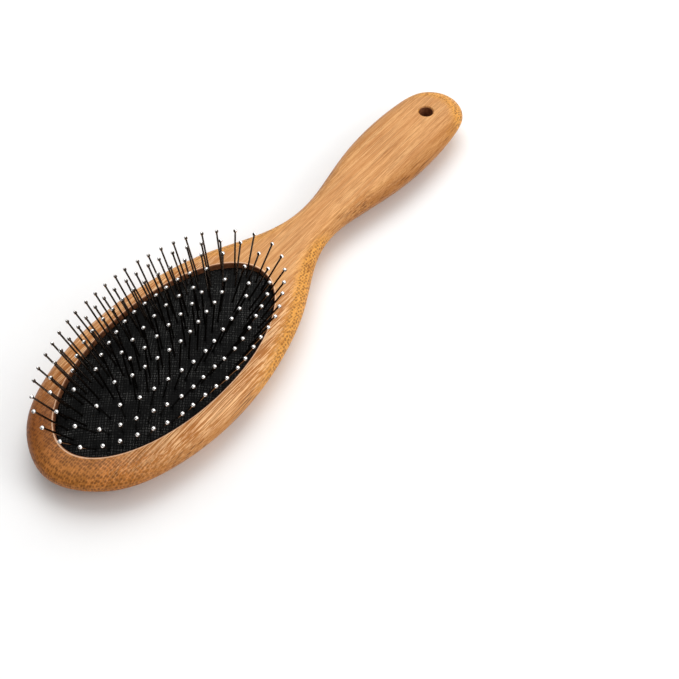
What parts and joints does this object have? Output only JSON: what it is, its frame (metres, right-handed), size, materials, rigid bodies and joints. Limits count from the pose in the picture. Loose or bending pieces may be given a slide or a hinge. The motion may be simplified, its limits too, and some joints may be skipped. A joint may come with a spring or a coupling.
{
  "type": "slicker brush",
  "caption": "Oval air-cushion pet brush with ball-ended steel pins and a one-piece bamboo handle with a hanging hole, for combing out the coats of dogs and cats.",
  "frame": {"origin": "middle of the brush's footprint, on its flat back", "axes": "+X along the brush from the head to the grip, +Y across it, +Z the way the pins point"},
  "size_m": [0.23, 0.0658, 0.0332],
  "materials": {
    "bamboo": "satin oiled laminated bamboo",
    "cushion_rubber": "matt moulded rubber",
    "cushion_cloth": "finely woven nylon",
    "backing_felt": "pressed felt",
    "pin_steel": "drawn wire, bright"
  },
  "bodies": {
    "handle": {"handle_body": "bamboo"},
    "cushion": {"cushion_pad": "cushion_rubber", "cushion_cloth": "cushion_cloth", "backing_sheet": "backing_felt"},
    "pins_oval1_sector1": {"pins_oval1_sector1": "pin_steel"},
    "pins_oval1_sector2": {"pins_oval1_sector2": "pin_steel"},
    "pins_oval1_sector3": {"pins_oval1_sector3": "pin_steel"},
    "pins_oval1_sector4": {"pins_oval1_sector4": "pin_steel"},
    "pins_oval1_sector5": {"pins_oval1_sector5": "pin_steel"},
    "pins_oval1_sector6": {"pins_oval1_sector6": "pin_steel"},
    "pins_oval1_sector7": {"pins_oval1_sector7": "pin_steel"},
    "pins_oval1_sector8": {"pins_oval1_sector8": "pin_steel"},
    "pins_oval2_sector1": {"pins_oval2_sector1": "pin_steel"},
    "pins_oval2_sector2": {"pins_oval2_sector2": "pin_steel"},
    "pins_oval2_sector3": {"pins_oval2_sector3": "pin_steel"},
    "pins_oval2_sector4": {"pins_oval2_sector4": "pin_steel"},
    "pins_oval2_sector5": {"pins_oval2_sector5": "pin_steel"},
    "pins_oval2_sector6": {"pins_oval2_sector6": "pin_steel"},
    "pins_oval2_sector7": {"pins_oval2_sector7": "pin_steel"},
    "pins_oval2_sector8": {"pins_oval2_sector8": "pin_steel"},
    "pins_oval3_sector1": {"pins_oval3_sector1": "pin_steel"},
    "pins_oval3_sector2": {"pins_oval3_sector2": "pin_steel"},
    "pins_oval3_sector3": {"pins_oval3_sector3": "pin_steel"},
    "pins_oval3_sector4": {"pins_oval3_sector4": "pin_steel"},
    "pins_oval3_sector5": {"pins_oval3_sector5": "pin_steel"},
    "pins_oval3_sector6": {"pins_oval3_sector6": "pin_steel"},
    "pins_oval4_sector1": {"pins_oval4_sector1": "pin_steel"},
    "pins_oval4_sector2": {"pins_oval4_sector2": "pin_steel"},
    "pins_oval4_sector3": {"pins_oval4_sector3": "pin_steel"},
    "pins_oval4_sector4": {"pins_oval4_sector4": "pin_steel"},
    "pins_oval5_sector1": {"pins_oval5_sector1": "pin_steel"},
    "pins_oval5_sector2": {"pins_oval5_sector2": "pin_steel"}
  },
  "joints": [
    {"name": "cushion_press", "type": "slide", "parent": "handle", "child": "cushion", "axis": [0, 0, 1], "range_m": [-0.002, 0], "stiffness_N_per_m": 5000, "deforming": ["cushion_pad", "cushion_cloth", "backing_sheet"]},
    {"name": "lean_oval1_sector1", "type": "hinge", "parent": "cushion", "child": "pins_oval1_sector1", "pos_m": [-0.02051, 0.01022, 0.01222], "axis": [-0.7623, 0.6472, 0], "range_deg": [-5, 5], "stiffness_Nm_per_rad": 0.005},
    {"name": "lean_oval1_sector2", "type": "hinge", "parent": "cushion", "child": "pins_oval1_sector2", "pos_m": [-0.04413, 0.01997, 0.01239], "axis": [-0.9882, 0.1529, 0], "range_deg": [-5, 5], "stiffness_Nm_per_rad": 0.005},
    {"name": "lean_oval1_sector3", "type": "hinge", "parent": "cushion", "child": "pins_oval1_sector3", "pos_m": [-0.07027, 0.01997, 0.01239], "axis": [-0.9882, -0.1529, 0], "range_deg": [-5, 5], "stiffness_Nm_per_rad": 0.005},
    {"name": "lean_oval1_sector4", "type": "hinge", "parent": "cushion", "child": "pins_oval1_sector4", "pos_m": [-0.09389, 0.01022, 0.01222], "axis": [-0.7623, -0.6472, 0], "range_deg": [-5, 5], "stiffness_Nm_per_rad": 0.005},
    {"name": "lean_oval1_sector5", "type": "hinge", "parent": "cushion", "child": "pins_oval1_sector5", "pos_m": [-0.09389, -0.01022, 0.01222], "axis": [0.7623, -0.6472, 0], "range_deg": [-5, 5], "stiffness_Nm_per_rad": 0.005},
    {"name": "lean_oval1_sector6", "type": "hinge", "parent": "cushion", "child": "pins_oval1_sector6", "pos_m": [-0.07027, -0.01997, 0.01239], "axis": [0.9882, -0.1529, 0], "range_deg": [-5, 5], "stiffness_Nm_per_rad": 0.005},
    {"name": "lean_oval1_sector7", "type": "hinge", "parent": "cushion", "child": "pins_oval1_sector7", "pos_m": [-0.04413, -0.01997, 0.01239], "axis": [0.9882, 0.1529, 0], "range_deg": [-5, 5], "stiffness_Nm_per_rad": 0.005},
    {"name": "lean_oval1_sector8", "type": "hinge", "parent": "cushion", "child": "pins_oval1_sector8", "pos_m": [-0.02051, -0.01022, 0.01222], "axis": [0.7623, 0.6472, 0], "range_deg": [-5, 5], "stiffness_Nm_per_rad": 0.005},
    {"name": "lean_oval2_sector1", "type": "hinge", "parent": "cushion", "child": "pins_oval2_sector1", "pos_m": [-0.0258, 0.00831, 0.01296], "axis": [-0.7978, 0.6029, 0], "range_deg": [-5, 5], "stiffness_Nm_per_rad": 0.005},
    {"name": "lean_oval2_sector2", "type": "hinge", "parent": "cushion", "child": "pins_oval2_sector2", "pos_m": [-0.04615, 0.01589, 0.01325], "axis": [-0.9905, 0.1377, 0], "range_deg": [-5, 5], "stiffness_Nm_per_rad": 0.005},
    {"name": "lean_oval2_sector3", "type": "hinge", "parent": "cushion", "child": "pins_oval2_sector3", "pos_m": [-0.06825, 0.01589, 0.01325], "axis": [-0.9905, -0.1377, 0], "range_deg": [-5, 5], "stiffness_Nm_per_rad": 0.005},
    {"name": "lean_oval2_sector4", "type": "hinge", "parent": "cushion", "child": "pins_oval2_sector4", "pos_m": [-0.0886, 0.00831, 0.01296], "axis": [-0.7978, -0.6029, 0], "range_deg": [-5, 5], "stiffness_Nm_per_rad": 0.005},
    {"name": "lean_oval2_sector5", "type": "hinge", "parent": "cushion", "child": "pins_oval2_sector5", "pos_m": [-0.0886, -0.00831, 0.01296], "axis": [0.7978, -0.6029, 0], "range_deg": [-5, 5], "stiffness_Nm_per_rad": 0.005},
    {"name": "lean_oval2_sector6", "type": "hinge", "parent": "cushion", "child": "pins_oval2_sector6", "pos_m": [-0.06825, -0.01589, 0.01325], "axis": [0.9905, -0.1377, 0], "range_deg": [-5, 5], "stiffness_Nm_per_rad": 0.005},
    {"name": "lean_oval2_sector7", "type": "hinge", "parent": "cushion", "child": "pins_oval2_sector7", "pos_m": [-0.04615, -0.01589, 0.01325], "axis": [0.9905, 0.1377, 0], "range_deg": [-5, 5], "stiffness_Nm_per_rad": 0.005},
    {"name": "lean_oval2_sector8", "type": "hinge", "parent": "cushion", "child": "pins_oval2_sector8", "pos_m": [-0.0258, -0.00831, 0.01296], "axis": [0.7978, 0.6029, 0], "range_deg": [-5, 5], "stiffness_Nm_per_rad": 0.005},
    {"name": "lean_oval3_sector1", "type": "hinge", "parent": "cushion", "child": "pins_oval3_sector1", "pos_m": [-0.03419, 0.00731, 0.01369], "axis": [-0.9059, 0.4234, 0], "range_deg": [-5, 5], "stiffness_Nm_per_rad": 0.005},
    {"name": "lean_oval3_sector2", "type": "hinge", "parent": "cushion", "child": "pins_oval3_sector2", "pos_m": [-0.0572, 0.01182, 0.01401], "axis": [-1, 0.0001, 0], "range_deg": [-5, 5], "stiffness_Nm_per_rad": 0.005},
    {"name": "lean_oval3_sector3", "type": "hinge", "parent": "cushion", "child": "pins_oval3_sector3", "pos_m": [-0.08021, 0.00731, 0.01369], "axis": [-0.9059, -0.4234, 0], "range_deg": [-5, 5], "stiffness_Nm_per_rad": 0.005},
    {"name": "lean_oval3_sector4", "type": "hinge", "parent": "cushion", "child": "pins_oval3_sector4", "pos_m": [-0.08021, -0.00731, 0.01369], "axis": [0.9059, -0.4234, 0], "range_deg": [-5, 5], "stiffness_Nm_per_rad": 0.005},
    {"name": "lean_oval3_sector5", "type": "hinge", "parent": "cushion", "child": "pins_oval3_sector5", "pos_m": [-0.0572, -0.01182, 0.01401], "axis": [1, 0.0001, 0], "range_deg": [-5, 5], "stiffness_Nm_per_rad": 0.005},
    {"name": "lean_oval3_sector6", "type": "hinge", "parent": "cushion", "child": "pins_oval3_sector6", "pos_m": [-0.03419, -0.00731, 0.01369], "axis": [0.9059, 0.4234, 0], "range_deg": [-5, 5], "stiffness_Nm_per_rad": 0.005},
    {"name": "lean_oval4_sector1", "type": "hinge", "parent": "cushion", "child": "pins_oval4_sector1", "pos_m": [-0.04352, 0.0054, 0.01429], "axis": [-0.9805, 0.1964, 0], "range_deg": [-5, 5], "stiffness_Nm_per_rad": 0.005},
    {"name": "lean_oval4_sector2", "type": "hinge", "parent": "cushion", "child": "pins_oval4_sector2", "pos_m": [-0.07088, 0.0054, 0.01429], "axis": [-0.9805, -0.1964, 0], "range_deg": [-5, 5], "stiffness_Nm_per_rad": 0.005},
    {"name": "lean_oval4_sector3", "type": "hinge", "parent": "cushion", "child": "pins_oval4_sector3", "pos_m": [-0.07088, -0.0054, 0.01429], "axis": [0.9805, -0.1964, 0], "range_deg": [-5, 5], "stiffness_Nm_per_rad": 0.005},
    {"name": "lean_oval4_sector4", "type": "hinge", "parent": "cushion", "child": "pins_oval4_sector4", "pos_m": [-0.04352, -0.0054, 0.01429], "axis": [0.9805, 0.1964, 0], "range_deg": [-5, 5], "stiffness_Nm_per_rad": 0.005},
    {"name": "lean_oval5_sector1", "type": "hinge", "parent": "cushion", "child": "pins_oval5_sector1", "pos_m": [-0.0572, 0.0022, 0.01459], "axis": [-1, 0, 0], "range_deg": [-3, 4], "stiffness_Nm_per_rad": 0.005},
    {"name": "lean_oval5_sector2", "type": "hinge", "parent": "cushion", "child": "pins_oval5_sector2", "pos_m": [-0.0572, -0.0022, 0.01459], "axis": [1, 0, 0], "range_deg": [-3, 4], "stiffness_Nm_per_rad": 0.005}
  ]
}
